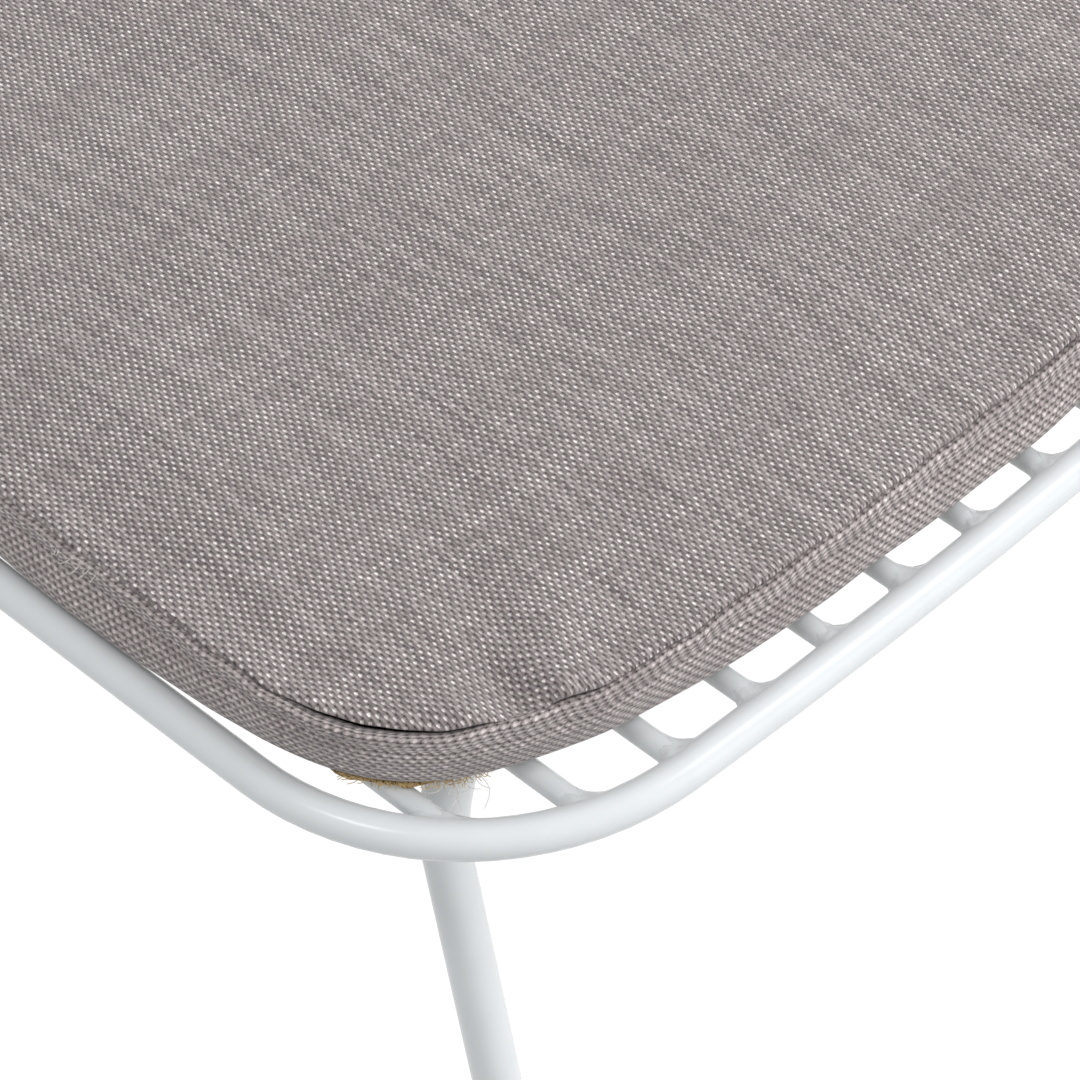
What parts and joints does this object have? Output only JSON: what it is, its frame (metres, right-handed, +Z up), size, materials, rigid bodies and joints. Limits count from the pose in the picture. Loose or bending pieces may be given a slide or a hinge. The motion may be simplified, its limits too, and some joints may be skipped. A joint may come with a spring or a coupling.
{
  "type": "wire chair",
  "caption": "Dining chair of white coated steel rod and wire, with bent leg bows, a wire back and a loose woven seat pad.",
  "frame": {"origin": "on the floor, under the middle of the overall width and depth", "axes": "+Z up, +X to the sitter's left, the chair faces -Y"},
  "size_m": [0.438, 0.5422, 0.82],
  "materials": {
    "white_coated_steel": "smooth white powder coat, semi-gloss",
    "glide_plastic": "moulded, satin",
    "pad_cloth": "coarse plain weave, mauve grey with pale slubs",
    "pad_backing_cloth": "plain tan backing cloth",
    "pad_foam": "open foam, inside the cover"
  },
  "bodies": {
    "frame": {"back_cross_wire_1": "white_coated_steel", "back_cross_wire_2": "white_coated_steel", "back_cross_wire_3": "white_coated_steel", "back_hoop": "white_coated_steel", "front_left_glide": "glide_plastic", "front_leg_bow": "white_coated_steel", "front_right_glide": "glide_plastic", "long_wire_01": "white_coated_steel", "long_wire_02": "white_coated_steel", "long_wire_03": "white_coated_steel", "long_wire_04": "white_coated_steel", "long_wire_05": "white_coated_steel", "long_wire_06": "white_coated_steel", "long_wire_07": "white_coated_steel", "long_wire_08": "white_coated_steel", "long_wire_09": "white_coated_steel", "long_wire_10": "white_coated_steel", "long_wire_11": "white_coated_steel", "long_wire_12": "white_coated_steel", "long_wire_13": "white_coated_steel", "long_wire_14": "white_coated_steel", "long_wire_15": "white_coated_steel", "long_wire_16": "white_coated_steel", "long_wire_17": "white_coated_steel", "long_wire_18": "white_coated_steel", "long_wire_19": "white_coated_steel", "long_wire_20": "white_coated_steel", "long_wire_21": "white_coated_steel", "rear_left_glide": "glide_plastic", "rear_leg_bow": "white_coated_steel", "rear_right_glide": "glide_plastic", "seat_cross_wire_1": "white_coated_steel", "seat_cross_wire_2": "white_coated_steel", "seat_rim": "white_coated_steel"},
    "seat_pad": {"pad_foam": "pad_foam", "pad_side_band": "pad_cloth", "pad_top_panel": "pad_cloth", "pad_underside": "pad_backing_cloth"}
  },
  "joints": [
    {"name": "pad_lift", "type": "slide", "parent": "frame", "child": "seat_pad", "axis": [0, 0, 1], "range_m": [0, 0.4]}
  ]
}
